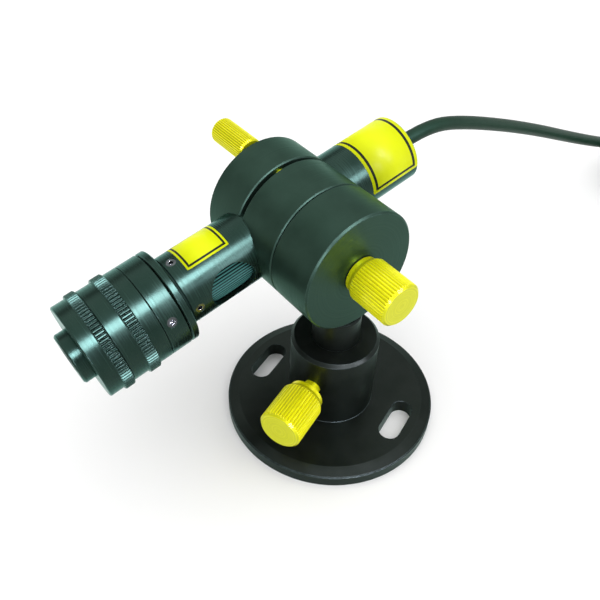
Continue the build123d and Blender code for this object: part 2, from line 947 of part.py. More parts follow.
coil_arcs = []
for index in range(len(coil_corners) - 1):
    start = coil_point(*coil_corners[index])
    end = coil_point(*coil_corners[index + 1])
    side = 1 if index % 2 == 0 else -1
    half = (end - start).length / 2
    middle = (start + end) * 0.5 + rear_dir * (side * half)
    coil_arcs.append((start, middle, end))
tail_start = coil_point(*coil_corners[-1])
tail_end = tail_start - rear_dir * (2 * cord_radius)

with BuildPart() as cord_coil:
    with BuildLine() as coil_path:
        Line(coil_start, coil_arcs[0][0])
        for start, middle, end in coil_arcs:
            ThreePointArc(start, middle, end)
        Line(tail_start, tail_end)
    coil_wire = coil_path.wire()
    coil_length = coil_wire.length
    with BuildSketch(Plane(origin=coil_start, x_dir=drum_dir, z_dir=rear_dir)):
        Circle(cord_radius)
    sweep()
write(cord_coil.part, "cord_coil")

# The cord's length, its volume against its section, and the coil's least gap to itself
cord_section = math.pi * cord_radius**2
print("cord length", round(lead_length + coil_length, 1))
print("lead volume ratio", round(cord_lead.part.volume / (cord_section * lead_length), 4))
print("coil volume ratio", round(cord_coil.part.volume / (cord_section * coil_length), 4))
coil_samples = []
travelled = 0.0
for start, middle, end in coil_arcs:
    half = (end - start).length / 2
    centre = (start + end) * 0.5
    for step in range(48):
        angle = math.pi * step / 48
        spot = centre + (start - centre) * math.cos(angle) + (middle - centre) * math.sin(angle)
        coil_samples.append((travelled + half * angle, spot))
    travelled += half * math.pi
least = min(
    (spot - other).length
    for index, (place, spot) in enumerate(coil_samples)
    for reached, other in coil_samples[index + 1 :]
    if reached - place > 30
)
print("coil least gap", round(least - 2 * cord_radius, 3))

# Tie round the coil's layers, and the plug on the cord's end
# On the coil's near side all layers have the same turns, half a pitch to this or that side of its centre
tie_reach = (tie_width + coil_pitch) / 2
tie_hollow = coil_inner + coil_pitch / 2 - cord_radius
tie_inner = math.sqrt(tie_hollow**2 - tie_reach**2) - tie_gap
tie_outer = coil_radius - coil_pitch / 2 + cord_radius + tie_gap
tie_bottom = coil_low - cord_radius - tie_gap / 2
tie_top = coil_top + cord_radius + tie_gap
tie_middle = coil_point(0, (tie_bottom + tie_top) / 2)
tie_middle = tie_middle - rear_dir * ((tie_inner + tie_outer) / 2)
with BuildPart() as cord_tie:
    with BuildSketch(Plane(origin=tie_middle, x_dir=rear_dir, z_dir=drum_dir)):
        tie_span = tie_outer - tie_inner
        tie_rise = tie_top - tie_bottom
        RectangleRounded(tie_span + 2 * tie_thickness, tie_rise + 2 * tie_thickness, 1.2)
        RectangleRounded(tie_span, tie_rise, 0.6, mode=Mode.SUBTRACT)
    extrude(amount=tie_width / 2, both=True)
write(cord_tie.part, "cord_tie")

plug_frame = Plane(origin=tail_end, x_dir=drum_dir, z_dir=rear_dir * -1)
plug_grip_end = plug_taper_length + plug_grip_length
plug_end = plug_grip_end + plug_barrel_length
plug_rounding = 0.5
with BuildPart() as cord_plug:
    add(
        lathe(
            plug_frame,
            [
                (0, 0),
                (cord_radius + 0.6, 0),
                (0.75 * plug_radius, plug_taper_length),
                (plug_radius - plug_rounding, plug_taper_length),
                (plug_radius, plug_taper_length + plug_rounding),
                (plug_radius, plug_grip_end - plug_rounding),
                (plug_radius - plug_rounding, plug_grip_end),
                (0, plug_grip_end),
            ],
        )
    )
write(cord_plug.part, "cord_plug")

with BuildPart() as plug_barrel:
    add(
        lathe(
            plug_frame,
            [
                (plug_barrel_bore, plug_grip_end),
                (plug_barrel_radius, plug_grip_end),
                (plug_barrel_radius, plug_end),
                (plug_barrel_bore, plug_end),
            ],
        )
    )
write(plug_barrel.part, "plug_barrel")
print("tie bottom", round(tie_bottom - tie_thickness, 3))
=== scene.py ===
# %% [markdown]
# # A line laser on its desk stand
# The packed model already holds every hard piece at its true size and place, so this lesson adds what
# solids can't: the photograph's view, a cord that droops, stickers, finishes and studio light.
# Blender works in metres here. Sizes from the drawing are in millimetres, and become metres times `MM`.

# %% Load the frame
import math

import bmesh
import bpy
from mathutils import Matrix, Vector


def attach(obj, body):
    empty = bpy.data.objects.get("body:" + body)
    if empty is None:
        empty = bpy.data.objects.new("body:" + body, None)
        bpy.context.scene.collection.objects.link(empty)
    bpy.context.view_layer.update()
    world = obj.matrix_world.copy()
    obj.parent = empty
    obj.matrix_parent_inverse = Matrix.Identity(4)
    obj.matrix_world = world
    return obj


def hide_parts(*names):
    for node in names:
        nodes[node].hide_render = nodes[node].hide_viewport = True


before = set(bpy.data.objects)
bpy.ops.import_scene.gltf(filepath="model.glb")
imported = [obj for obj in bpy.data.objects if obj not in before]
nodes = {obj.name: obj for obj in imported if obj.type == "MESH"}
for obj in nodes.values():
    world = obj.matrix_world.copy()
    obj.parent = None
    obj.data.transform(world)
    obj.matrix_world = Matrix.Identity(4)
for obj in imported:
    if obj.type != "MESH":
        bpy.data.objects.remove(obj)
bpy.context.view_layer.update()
scene = bpy.context.scene
MM = 0.001

# %% [markdown]
# ## Directions
# On the real stand the upper part is turned on its post and the tube dips in its clamp. Every later step
# needs those slanted lines, so they are worked out once, as vectors, instead of turning each piece by hand.

# %% Directions
YAW = math.radians(-21.5)
TILT = math.radians(11.75)
DRUM_HEIGHT = 58.3
TUBE_PLACE = -23.2 * MM
TUBE_RADIUS = 10.0 * MM

UP = Vector((0, 0, 1))
DRUM = Vector((math.cos(YAW), math.sin(YAW), 0))
REAR = Vector((-math.sin(YAW), math.cos(YAW), 0))
BEAM = REAR * -math.cos(TILT) - UP * math.sin(TILT)
TUBE_UP = BEAM.cross(DRUM)
DRUM_CENTRE = UP * DRUM_HEIGHT * MM
TUBE_CENTRE = DRUM_CENTRE + DRUM * TUBE_PLACE
print("the beam points along", [round(value, 3) for value in BEAM])

# %% [markdown]
# ## Camera
# The photograph was taken from close by, from the right and above, with the camera leaning a little. The
# round edges of the base, drum and tube give its place and lens, so nothing here is guessed by eye.

# %% Camera
CAMERA_PLACE = Vector((59.8, -133.7, 181.4)) * MM
AZIMUTH = math.radians(28.34)
ELEVATION = math.radians(43.53)
LEAN = math.radians(2.74)
LENS = 43.2
SENSOR_WIDTH = 36
NEAREST_SEEN = 5 * MM

level = math.cos(ELEVATION)
back = Vector((math.sin(AZIMUTH) * level, -math.cos(AZIMUTH) * level, math.sin(ELEVATION)))
level_right = Vector((math.cos(AZIMUTH), math.sin(AZIMUTH), 0))
level_up = back.cross(level_right)
right = level_right * math.cos(LEAN) + level_up * math.sin(LEAN)
upward = level_up * math.cos(LEAN) - level_right * math.sin(LEAN)

camera_data = bpy.data.cameras.new("photo_view")
camera_data.sensor_width = SENSOR_WIDTH
camera_data.lens = LENS
camera_data.clip_start = NEAREST_SEEN
camera = bpy.data.objects.new("photo_view", camera_data)
scene.collection.objects.link(camera)
turned = Matrix((right, upward, back)).transposed().to_4x4()
camera.matrix_world = Matrix.Translation(CAMERA_PLACE) @ turned
scene.camera = camera
print("camera stands", round(CAMERA_PLACE.length / MM), "mm from the base's centre")

# %% [markdown]
# ## The cord's route
# The cord is a round lead that leaves the tube straight, droops to the rear and ends in a coil that is put
# away beside the stand. A smooth curve follows a few points, so only the route's own points are listed. The
# first ones are set to the photograph's line, and the last ones lead to the top of the coil.

# %% Cord route
CORD_RADIUS = 2.2 * MM
CORD_STRAIGHT = 9.4 * MM
GLAND_END = -44.5 * MM
COIL_LOW = 3.0
COIL_LAYER = 5.1
COIL_LAYERS = 4
COIL_TOP = COIL_LOW + (COIL_LAYERS - 1) * COIL_LAYER
CORD_ROUTE = [(68.6, 66.0), (106.7, 51.2), (150.0, 31.3), (181.0, COIL_TOP), (199.0, COIL_TOP)]


def behind(distance, height):
    """A point of the upright plane through the tube, in millimetres to the rear and up."""
    return DRUM * TUBE_PLACE + REAR * distance * MM + UP * height * MM


cord_exit = TUBE_CENTRE + BEAM * GLAND_END
route = [cord_exit, cord_exit - BEAM * CORD_STRAIGHT]
route += [behind(distance, height) for distance, height in CORD_ROUTE]
print("free run:", len(route), "points")

# %% [markdown]
# ## The coil
# Each layer of the coil winds in or out by half turns, from the top layer down, so a list of where the half
# turns meet describes it all. They meet on one line through the coil's centre, on one side and the other.

# %% Coil corners
COIL_RADIUS = 29.0
COIL_PITCH = 4.9
COIL_TURNS = 2
TAIL_SWING = 5.0
TAIL_HEIGHT = 5.5

coil_centre = behind(*CORD_ROUTE[-1]) + REAR * 2 * CORD_RADIUS + DRUM * COIL_RADIUS * MM
coil_inner = COIL_RADIUS - COIL_TURNS * COIL_PITCH

corners = [(COIL_RADIUS, COIL_TOP)]
for layer in range(COIL_LAYERS):
    height = COIL_TOP - layer * COIL_LAYER
    inward = layer % 2 == 0
    first = COIL_RADIUS if inward else coil_inner
    spread = -COIL_PITCH if inward else COIL_PITCH
    for turn in range(COIL_TURNS):
        corners.append((-first - turn * spread, height))
        corners.append((first + (turn + 1) * spread, height))
corners.append((-COIL_RADIUS - TAIL_SWING, TAIL_HEIGHT))
print("half turns:", len(corners) - 1)

# %% [markdown]
# ## The coil's points
# A half turn is a few points on half a circle. A smooth line of this kind runs inside its points: it takes
# three quarters of the nearest one and an eighth of each neighbour. The points therefore stand out a little,
# by just as much as keeps each turn's size.

# %% Coil points
HALF_TURN_POINTS = 9
OWN_SHARE = 0.75


def coil_point(along, height):
    """A point on the line through the coil's centre, in millimetres."""
    return coil_centre - DRUM * along * MM + UP * (height - COIL_TOP) * MM


step = math.pi / HALF_TURN_POINTS
stand_out = 1 / (OWN_SHARE + (1 - OWN_SHARE) * math.cos(step))
for index in range(len(corners) - 1):
    start = coil_point(*corners[index])
    end = coil_point(*corners[index + 1])
    centre = (start + end) / 2
    side = 1 if index % 2 == 0 else -1
    across = REAR * side * (end - start).length / 2
    for count in range(HALF_TURN_POINTS):
        angle = step * (count + 0.5)
        reach = (start - centre) * math.cos(angle) + across * math.sin(angle)
        route.append(centre + reach * stand_out)
tail_start = coil_point(*corners[-1])
plug_start = tail_start - REAR * 2 * CORD_RADIUS
route += [tail_start, plug_start]
print("points of the whole cord:", len(route))

# %% [markdown]
# ## The cord itself
# One curve with a round bevel is the simplest cord: it keeps its thickness everywhere and bends smoothly.
# A bevel of 1 m times each point's own radius gives the thickness, because Blender widens a curve's box by
# those radii. It rides with the sliding tube, whose gland holds it, and stands for two solids of the
# drawing.

# %% Cord curve
cord_curve = bpy.data.curves.new("cord", "CURVE")
cord_curve.dimensions = "3D"
cord_curve.bevel_depth = 1.0
cord_curve.bevel_resolution = 8
cord_curve.resolution_u = 6
spline = cord_curve.splines.new("NURBS")
spline.points.add(len(route) - 1)
for point, place in zip(spline.points, route):
    point.co = (*place, 1)
    point.radius = CORD_RADIUS
spline.order_u = 3
spline.use_endpoint_u = True
cord = bpy.data.objects.new("cord", cord_curve)
scene.collection.objects.link(cord)
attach(cord, "carriage")
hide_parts("cord_lead", "cord_coil")
print("cord thickness:", 2 * CORD_RADIUS / MM, "mm")

# %% [markdown]
# ## A kit for finishes
# A finish is a Principled shader fed by a few nodes. Wiring nodes by hand takes many lines, so a small class
# keeps the shader and offers the usual steps: noise, stripes, ranges, blends and bump.

# %% Node kit
MIX_COLOURS = (6, 7)
MIX_RESULT = 2


class NodeKit:
    """A material with its Principled shader and shortcuts for adding nodes."""

    def __init__(self, name, colour, roughness, metallic=0.0):
        self.material = bpy.data.materials.new(name)
        self.material.use_nodes = True
        self.tree = self.material.node_tree
        self.shader = self.tree.nodes["Principled BSDF"]
        self.put("Base Color", (*colour, 1))
        self.put("Roughness", roughness)
        self.put("Metallic", metallic)
        self.coordinates = self.node("ShaderNodeTexCoord").outputs["Object"]

    def put(self, socket, value):
        """Set a shader socket to a value, or wire an output to it."""
        if isinstance(value, bpy.types.NodeSocket):
            self.tree.links.new(value, self.shader.inputs[socket])
        else:
            self.shader.inputs[socket].default_value = value

    def node(self, kind, inputs=(), **settings):
        """Add a node, with its settings and its first inputs."""
        made = self.tree.nodes.new(kind)
        for key, value in settings.items():
            setattr(made, key, value)
        for socket, value in zip(made.inputs, inputs):
            if isinstance(value, bpy.types.NodeSocket):
                self.tree.links.new(value, socket)
            elif value is not None:
                socket.default_value = value
        return made

    def sum(self, operation, *values):
        return self.node("ShaderNodeMath", values, operation=operation).outputs[0]

    def vector(self, operation, *values):
        made = self.node("ShaderNodeVectorMath", values, operation=operation)
        return made.outputs["Value" if operation in ("DOT_PRODUCT", "LENGTH") else "Vector"]

    def noise(self, scale, detail=2.0):
        made = self.node("ShaderNodeTexNoise")
        made.inputs["Scale"].default_value = scale
        made.inputs["Detail"].default_value = detail
        self.tree.links.new(self.coordinates, made.inputs["Vector"])
        return made.outputs["Fac"]

    def stripes(self, place, scale, detail=3.0):
        made = self.node("ShaderNodeTexNoise", noise_dimensions="1D")
        made.inputs["Scale"].default_value = scale
        made.inputs["Detail"].default_value = detail
        self.tree.links.new(place, made.inputs["W"])
        return made.outputs["Fac"]

    def range(self, value, low, high, start=0.3, end=0.7):
        """Map a value from start..end to low..high."""
        return self.node("ShaderNodeMapRange", (value, start, end, low, high)).outputs["Result"]

    def blend(self, factor, first, second):
        """Mix two colours; the node has a pair of sockets for each kind of data, so they go by number."""
        made = self.node("ShaderNodeMix", data_type="RGBA")
        self.tree.links.new(factor, made.inputs["Factor"])
        for number, value in zip(MIX_COLOURS, (first, second)):
            socket = made.inputs[number]
            if isinstance(value, bpy.types.NodeSocket):
                self.tree.links.new(value, socket)
            else:
                socket.default_value = (*value, 1)
        return made.outputs[MIX_RESULT]

    def bump(self, height, strength, distance, normal=None):
        made = self.node("ShaderNodeBump")
        made.inputs["Strength"].default_value = strength
        made.inputs["Distance"].default_value = distance
        self.tree.links.new(height, made.inputs["Height"])
        if normal is not None:
            self.tree.links.new(normal, made.inputs["Normal"])
        self.put("Normal", made.outputs["Normal"])


print("node kit:", [name for name in vars(NodeKit) if name[0] != "_"])

# %% [markdown]
# ## What the shape tells a finish
# A real finish follows its piece: a lathe leaves rings round the axis and edges wear first. Distances from
# the axis, a Bevel node and an Ambient Occlusion node show where that is. The same masks paint edges
# lighter, as wear and as a painted highlight, and darken grooves as painted shade, so one finish fits many
# pieces and no texture is painted by hand.

# %% Finish kit
FACE_LIMIT = 0.6
EDGE_LIMITS = (0.86, 0.995)
EDGE_SAMPLES = 6
GROOVE_SAMPLES = 8


class Finish(NodeKit):
    """A node kit that also finds a turned piece's axis, its edges and its grooves."""

    def turned(self, point, direction):
        """Where a spot is on a turned piece: along the axis, out from it, and 1 if it is on a face."""
        offset = self.vector("SUBTRACT", self.coordinates, tuple(point))
        along = self.vector("DOT_PRODUCT", offset, tuple(direction))
        radius = self.vector("LENGTH", self.vector("CROSS_PRODUCT", offset, tuple(direction)))
        normal = self.node("ShaderNodeNewGeometry").outputs["Normal"]
        facing = self.sum("ABSOLUTE", self.vector("DOT_PRODUCT", normal, tuple(direction)))
        return along, radius, self.sum("GREATER_THAN", facing, FACE_LIMIT)

    def rings(self, along, radius, on_face, scale):
        """Fine stripes of the lathe: along the axis on a side, out from it on a face."""
        place = self.sum("MULTIPLY_ADD", on_face, self.sum("SUBTRACT", radius, along), along)
        return self.stripes(place, scale)

    def edges(self, size):
        """Rounded normals near edges, and 1 where an edge is, for light and wear there."""
        soft = self.node("ShaderNodeBevel", (size,), samples=EDGE_SAMPLES).outputs["Normal"]
        plain = self.node("ShaderNodeNewGeometry").outputs["Normal"]
        alike = self.vector("DOT_PRODUCT", soft, plain)
        return soft, self.range(alike, 1, 0, *EDGE_LIMITS)

    def open_surface(self, size, alone=True):
        """0 deep in a groove of about this size, 1 on open surfaces, to paint shade in grooves; alone: piece
        only.
        """
        made = self.node("ShaderNodeAmbientOcclusion", samples=GROOVE_SAMPLES, only_local=alone)
        made.inputs["Distance"].default_value = size
        return made.outputs["AO"]


print("finish kit adds:", [name for name in vars(Finish) if name[0] != "_"])

# %% [markdown]
# ## Black anodised metal
# The base, drum, tube and head are turned aluminium with a thin dyed layer, black on the base and faintly
# green where drum and tube catch light. A shader that is half metal tints what it mirrors, as such a layer
# does. Lathe rings follow each piece's own axis. The edges are painted lighter, partly as wear of the
# layer and partly as a painted highlight. The tube's bare neck, behind the head, is left dull.

# %% Anodised layer
METAL_SHARE = 0.5
RING_SCALE = 1900
CLOUD_SCALE = 170
CLOUD_DETAIL = 4.0
FINE_DETAIL = 3.0
WEAR_SCALE = 900
WEAR_RANGE = (0.1, 0.75)
GRAIN_SCALE = 2600
GLOSS_SPAN = (0.7, 1.3)
LAYER_BUMP = 0.07
LAYER_DEPTH = 0.03 * MM
NECK_PLACE = 40.1 * MM
NECK_LENGTH = 1.8 * MM
NECK_RADIUS = 9.7 * MM
NECK_DULL = 0.5


def anodised(name, point, direction, tones, sheen, shine, smooth, rough, grain, edge_size):
    """Dyed turned metal; tones are the layer, its faded clouds, and its edges' wear and painted highlight.
    """
    black, faded, worn_and_highlight = tones
    finish = Finish(name, black, rough, METAL_SHARE)
    finish.put("Specular IOR Level", shine)
    finish.put("Specular Tint", (*sheen, 1))
    along, radius, on_face = finish.turned(point, direction)
    rings = finish.rings(along, radius, on_face, RING_SCALE)
    cloud = finish.noise(CLOUD_SCALE, CLOUD_DETAIL)
    soft, edge = finish.edges(edge_size)
    wear = finish.range(finish.noise(WEAR_SCALE, FINE_DETAIL), *WEAR_RANGE)
    # Painted highlight and wear: edges found by the Bevel node are painted lighter, unevenly by the wear
    # noise.
    wear_and_glint = finish.sum("MULTIPLY", edge, wear)
    layer = finish.blend(finish.range(cloud, 0, 1), black, faded)
    finish.put("Base Color", finish.blend(wear_and_glint, layer, worn_and_highlight))
    gloss = finish.sum("ADD", cloud, rings)
    shiny = finish.range(gloss, smooth, rough, *GLOSS_SPAN)
    beside_neck = finish.sum("COMPARE", along, NECK_PLACE, NECK_LENGTH / 2)
    in_neck = finish.sum("MULTIPLY", beside_neck, finish.sum("LESS_THAN", radius, NECK_RADIUS))
    finish.put("Roughness", finish.sum("MULTIPLY_ADD", in_neck, NECK_DULL, shiny))
    height = finish.sum("MULTIPLY_ADD", finish.noise(GRAIN_SCALE, FINE_DETAIL), grain, rings)
    finish.bump(height, LAYER_BUMP, LAYER_DEPTH, soft)
    return finish.material


print("the tube's neck is", round(NECK_LENGTH / MM, 1), "mm long")

# %% Anodised finishes
# The third tone of each is the edge colour, for wear of the layer and painted highlight.
BASE_TONES = [(0.008, 0.010, 0.008), (0.012, 0.014, 0.012), (0.09, 0.13, 0.13)]
DRUM_TONES = [(0.013, 0.026, 0.018), (0.018, 0.035, 0.025), (0.11, 0.19, 0.17)]
TUBE_TONES = [(0.009, 0.017, 0.012), (0.014, 0.025, 0.018), (0.11, 0.19, 0.17)]
BASE_SHEEN = (0.70, 0.98, 0.88)
DRUM_SHEEN = (0.44, 1.0, 0.76)
TUBE_SHEEN = (0.40, 1.0, 0.86)

base_black = anodised(
    "base_black", (0, 0, 0), UP, BASE_TONES, BASE_SHEEN,
    shine=0.21, smooth=0.28, rough=0.42, grain=0.6, edge_size=0.3 * MM,
)
drum_black = anodised(
    "drum_black", DRUM_CENTRE, DRUM, DRUM_TONES, DRUM_SHEEN,
    shine=0.44, smooth=0.36, rough=0.50, grain=1.6, edge_size=0.3 * MM,
)
tube_black = anodised(
    "tube_black", TUBE_CENTRE, BEAM, TUBE_TONES, TUBE_SHEEN,
    shine=0.42, smooth=0.20, rough=0.31, grain=0.2, edge_size=0.14 * MM,
)
print("anodised finishes: base, drum and tube")

# %% [markdown]
# ## Brass
# The thumb screws are bright turned brass. Full metal would show mostly what it mirrors, so a partly
# metallic shader with a thin coat gives the even yellow of the photograph. The ends carry lathe rings in a
# darker tone, partly ring marks and partly painted shade on the end faces. The knurl's grooves get painted
# shade, and its crests are painted brighter, as rubbed wear and as painted glints.

# %% Brass layer
BRASS = (0.86, 0.86, 0.004)
BRASS_DULL = (0.79, 0.78, 0.004)
# Edge colour: rubbed wear and painted glints; groove colour: painted shade; end colour: lathe rings and
# painted shade.
BRASS_RUB_AND_GLINT = (0.98, 0.96, 0.12)
BRASS_GROOVE_SHADE = (0.44, 0.42, 0.003)
BRASS_END_RING_SHADE = (0.54, 0.57, 0.004)
BRASS_SHEEN = (1.0, 0.96, 0.15)
BRASS_SHINE = 0.35
BRASS_METAL_SHARE = 0.45
BRASS_ROUGHNESS = 0.36
BRASS_GLOSS = (0.30, 0.40)
COAT_WEIGHT = 0.28
COAT_ROUGHNESS = 0.09
END_RING_SCALE = 2600
END_RING_RANGE = (0.5, 1)
BRASS_CLOUD_SCALE = 700
KNURL_EDGE = 0.08 * MM
KNURL_GROOVE = 0.4 * MM
KNURL_SHADE = (0.45, 0.9)
CREST_RUB_AND_GLINT = 0.7
BRASS_BUMP = 0.12
BRASS_DEPTH = 0.03 * MM


def brass(name, point, direction):
    """Brass: end rings (lathe marks, painted shade), painted shade in grooves, crests painted bright (wear,
    glints).
    """
    finish = Finish(name, BRASS, BRASS_ROUGHNESS, BRASS_METAL_SHARE)
    finish.put("Specular IOR Level", BRASS_SHINE)
    finish.put("Specular Tint", (*BRASS_SHEEN, 1))
    finish.put("Coat Weight", COAT_WEIGHT)
    finish.put("Coat Roughness", COAT_ROUGHNESS)
    _, radius, on_face = finish.turned(point, direction)
    rings = finish.stripes(finish.sum("MULTIPLY", on_face, radius), END_RING_SCALE)
    cloud = finish.noise(BRASS_CLOUD_SCALE, FINE_DETAIL)
    soft, edge = finish.edges(KNURL_EDGE)
    body = finish.blend(finish.range(cloud, 0, 1), BRASS, BRASS_DULL)
    # Painted shade: the knurl's grooves turn darker where the Ambient Occlusion node finds them closed in.
    knurl_shade_mask = finish.range(finish.open_surface(KNURL_GROOVE), 0, 1, *KNURL_SHADE)
    body = finish.blend(knurl_shade_mask, BRASS_GROOVE_SHADE, body)
    # Darker end rings: lathe marks and painted shade on the end faces.
    end = finish.sum("MULTIPLY", on_face, finish.range(rings, *END_RING_RANGE))
    body = finish.blend(end, body, BRASS_END_RING_SHADE)
    # Edges and crests painted brighter: rubbed wear and painted glints.
    finish.put("Base Color", finish.blend(finish.sum("MULTIPLY", edge, CREST_RUB_AND_GLINT), body, BRASS_RUB_AND_GLINT))
    finish.put("Roughness", finish.range(finish.sum("ADD", cloud, rings), *BRASS_GLOSS, *GLOSS_SPAN))
    finish.bump(rings, BRASS_BUMP, BRASS_DEPTH, soft)
    return finish.material


print("the knurl's edges are", round(KNURL_EDGE / MM, 2), "mm soft")

# %% Brass finishes
BASE_SCREW = UP * 18.9 * MM
BASE_SCREW_AXIS = Vector((0, -1, 0))
CLAMP_SCREW = DRUM_CENTRE + TUBE_UP * 15.2 * MM

base_brass = brass("base_screw_brass", BASE_SCREW, BASE_SCREW_AXIS)
tilt_brass = brass("tilt_screw_brass", DRUM_CENTRE, DRUM)
clamp_brass = brass("clamp_screw_brass", CLAMP_SCREW, DRUM)
holder_brass = brass("diode_holder_brass", TUBE_CENTRE, BEAM)
print("brass finishes: three screws and the diode holder")

# %% [markdown]
# ## Steel
# The grub screws, dowels and plug barrel are small steel pieces. They need only fine grain, edges painted
# bright as wear and as painted glints, and a change of gloss from place to place, because they show as
# glints.

# %% Steel finishes
STEEL_CLOUD_SCALE = 900
STEEL_EDGE = 0.1 * MM
STEEL_SMOOTHER = 0.06
STEEL_ROUGHER = 0.1
STEEL_GRAIN_SCALE = 14000
STEEL_BUMP = 0.08
STEEL_DEPTH = 0.02 * MM


def steel(name, light, dark, wear_and_glint, roughness):
    """Steel in clouds of two tones, with its edges painted lighter as rubbed wear and painted glints."""
    finish = Finish(name, light, roughness, metallic=1.0)
    cloud = finish.noise(STEEL_CLOUD_SCALE, FINE_DETAIL)
    soft, edge = finish.edges(STEEL_EDGE)
    body = finish.blend(finish.range(cloud, 0, 1), light, dark)
    finish.put("Base Color", finish.blend(edge, body, wear_and_glint))
    finish.put("Roughness", finish.range(cloud, roughness - STEEL_SMOOTHER, roughness + STEEL_ROUGHER))
    finish.bump(finish.noise(STEEL_GRAIN_SCALE), STEEL_BUMP, STEEL_DEPTH, soft)
    return finish.material


# The edge colour is rubbed wear and painted glints; on the dark screws it is mostly the glints.
screw_steel = steel(
    "screw_steel", light=(0.10, 0.11, 0.115), dark=(0.05, 0.055, 0.058), wear_and_glint=(0.64, 0.74, 0.72),
    roughness=0.18,
)
bright_steel = steel(
    "bright_steel", light=(0.66, 0.66, 0.67), dark=(0.54, 0.54, 0.55), wear_and_glint=(0.72, 0.74, 0.74),
    roughness=0.24,
)
print("steel finishes: dark screws, bright pins")

# %% [markdown]
# ## Rubber, plastic and board
# The cord's jacket, the gland, the plug's grip and the inner plastic pieces are moulded. Soft clouds change
# the colour and a fine grain changes gloss and height, which keeps them from looking like flat paint. The
# focus sleeve sits deep in the tube's window, so painted shade darkens its flutes between the ridges and
# under the rim.

# %% Moulded layer
MOULD_CLOUD_SCALE = 300
MOULD_SMOOTHER = 0.08
MOULD_ROUGHER = 0.1
MOULD_BUMP = 0.22
MOULD_DEPTH = 0.05 * MM
# Radii, span and colour of the painted shade on the sleeve's flutes and under the window's rim.
FLUTE_SHADE_RADII = (8.31 * MM, 8.47 * MM)
FLUTE_RECESS = 1.6 * MM
RIM_SHADE_SPAN = (0.2, 0.7)
FLUTE_PAINTED_SHADE = (0.003, 0.010, 0.009)


def moulded(name, light, dark, roughness, grain, shine=0.4, tint=(1, 1, 1), flutes=None):
    """Plastic or rubber; flutes are the radii over which painted shade on a fluted sleeve fades to its
    ridges.
    """
    finish = Finish(name, light, roughness)
    finish.put("Specular IOR Level", shine)
    finish.put("Specular Tint", (*tint, 1))
    cloud = finish.noise(MOULD_CLOUD_SCALE, CLOUD_DETAIL)
    fine = finish.noise(grain, FINE_DETAIL)
    colour = finish.blend(finish.range(cloud, 0, 1), light, dark)
    if flutes:
        # Painted shade: the sleeve darkens under the window's rim, where Ambient Occlusion meets the tube,
        # and in its flute grooves.
        rim_shade_mask = finish.range(finish.open_surface(FLUTE_RECESS, alone=False), 0, 1, *RIM_SHADE_SPAN)
        flute_shade_mask = finish.range(finish.turned(TUBE_CENTRE, BEAM)[1], 0, 1, *flutes)
        colour = finish.blend(finish.sum("MULTIPLY", rim_shade_mask, flute_shade_mask), FLUTE_PAINTED_SHADE, colour)
    finish.put("Base Color", colour)
    finish.put("Roughness", finish.range(fine, roughness - MOULD_SMOOTHER, roughness + MOULD_ROUGHER))
    finish.bump(fine, MOULD_BUMP, MOULD_DEPTH)
    return finish.material


# The painted shade fades out over this span of radii.
print("flutes go from dark to light over", round((FLUTE_SHADE_RADII[1] - FLUTE_SHADE_RADII[0]) / MM, 2), "mm")

# %% Moulded finishes
RUBBER = [(0.012, 0.018, 0.015), (0.019, 0.026, 0.023)]
JACKET = [(0.006, 0.024, 0.012), (0.010, 0.032, 0.018)]
NYLON = [(0.03, 0.03, 0.03), (0.045, 0.045, 0.045)]
BOARD = [(0.02, 0.16, 0.06), (0.03, 0.21, 0.08)]
BOARD_PART = [(0.035, 0.035, 0.037), (0.05, 0.05, 0.052)]
SLEEVE = [(0.070, 0.250, 0.235), (0.095, 0.300, 0.285)]

rubber = moulded("gland_rubber", *RUBBER, roughness=0.55, grain=5200)
jacket = moulded("cord_jacket", *JACKET, roughness=0.45, grain=3800, shine=0.2, tint=DRUM_SHEEN)
nylon = moulded("washer_nylon", *NYLON, roughness=0.5, grain=6000)
board = moulded("driver_board_green", *BOARD, roughness=0.35, grain=4200)
board_part = moulded("driver_part_black", *BOARD_PART, roughness=0.45, grain=6000)
sleeve_teal = moulded(
    "focus_sleeve_teal", *SLEEVE, roughness=0.45, grain=5200, shine=0.1, tint=TUBE_SHEEN, flutes=FLUTE_SHADE_RADII
)
cord_curve.materials.append(jacket)
print("moulded finishes: rubber, jacket, nylon, board, its parts and the sleeve")

# %% [markdown]
# ## Glass
# The lenses and the front window are clear glass. Full transmission with a slight haze is enough, and the
# dark inside of the head shows through it.

# %% Glass finish
GLASS_TINT = (0.93, 0.96, 0.97)
GLASS_IOR = 1.5
HAZE_SCALE = 600
HAZE = (0.01, 0.05)

glass_finish = Finish("lens_glass", GLASS_TINT, roughness=0.02)
glass_finish.put("Transmission Weight", 1.0)
glass_finish.put("IOR", GLASS_IOR)
glass_finish.put("Roughness", glass_finish.range(glass_finish.noise(HAZE_SCALE), *HAZE))
glass = glass_finish.material
print("glass bends light by", GLASS_IOR)

# %% [markdown]
# ## Dressing the hard pieces
# Each solid from the drawing keeps its mesh and takes the finish of its own axis, so that lathe rings are
# centred on it. A table of names is easier to check than a rule that guesses from them.

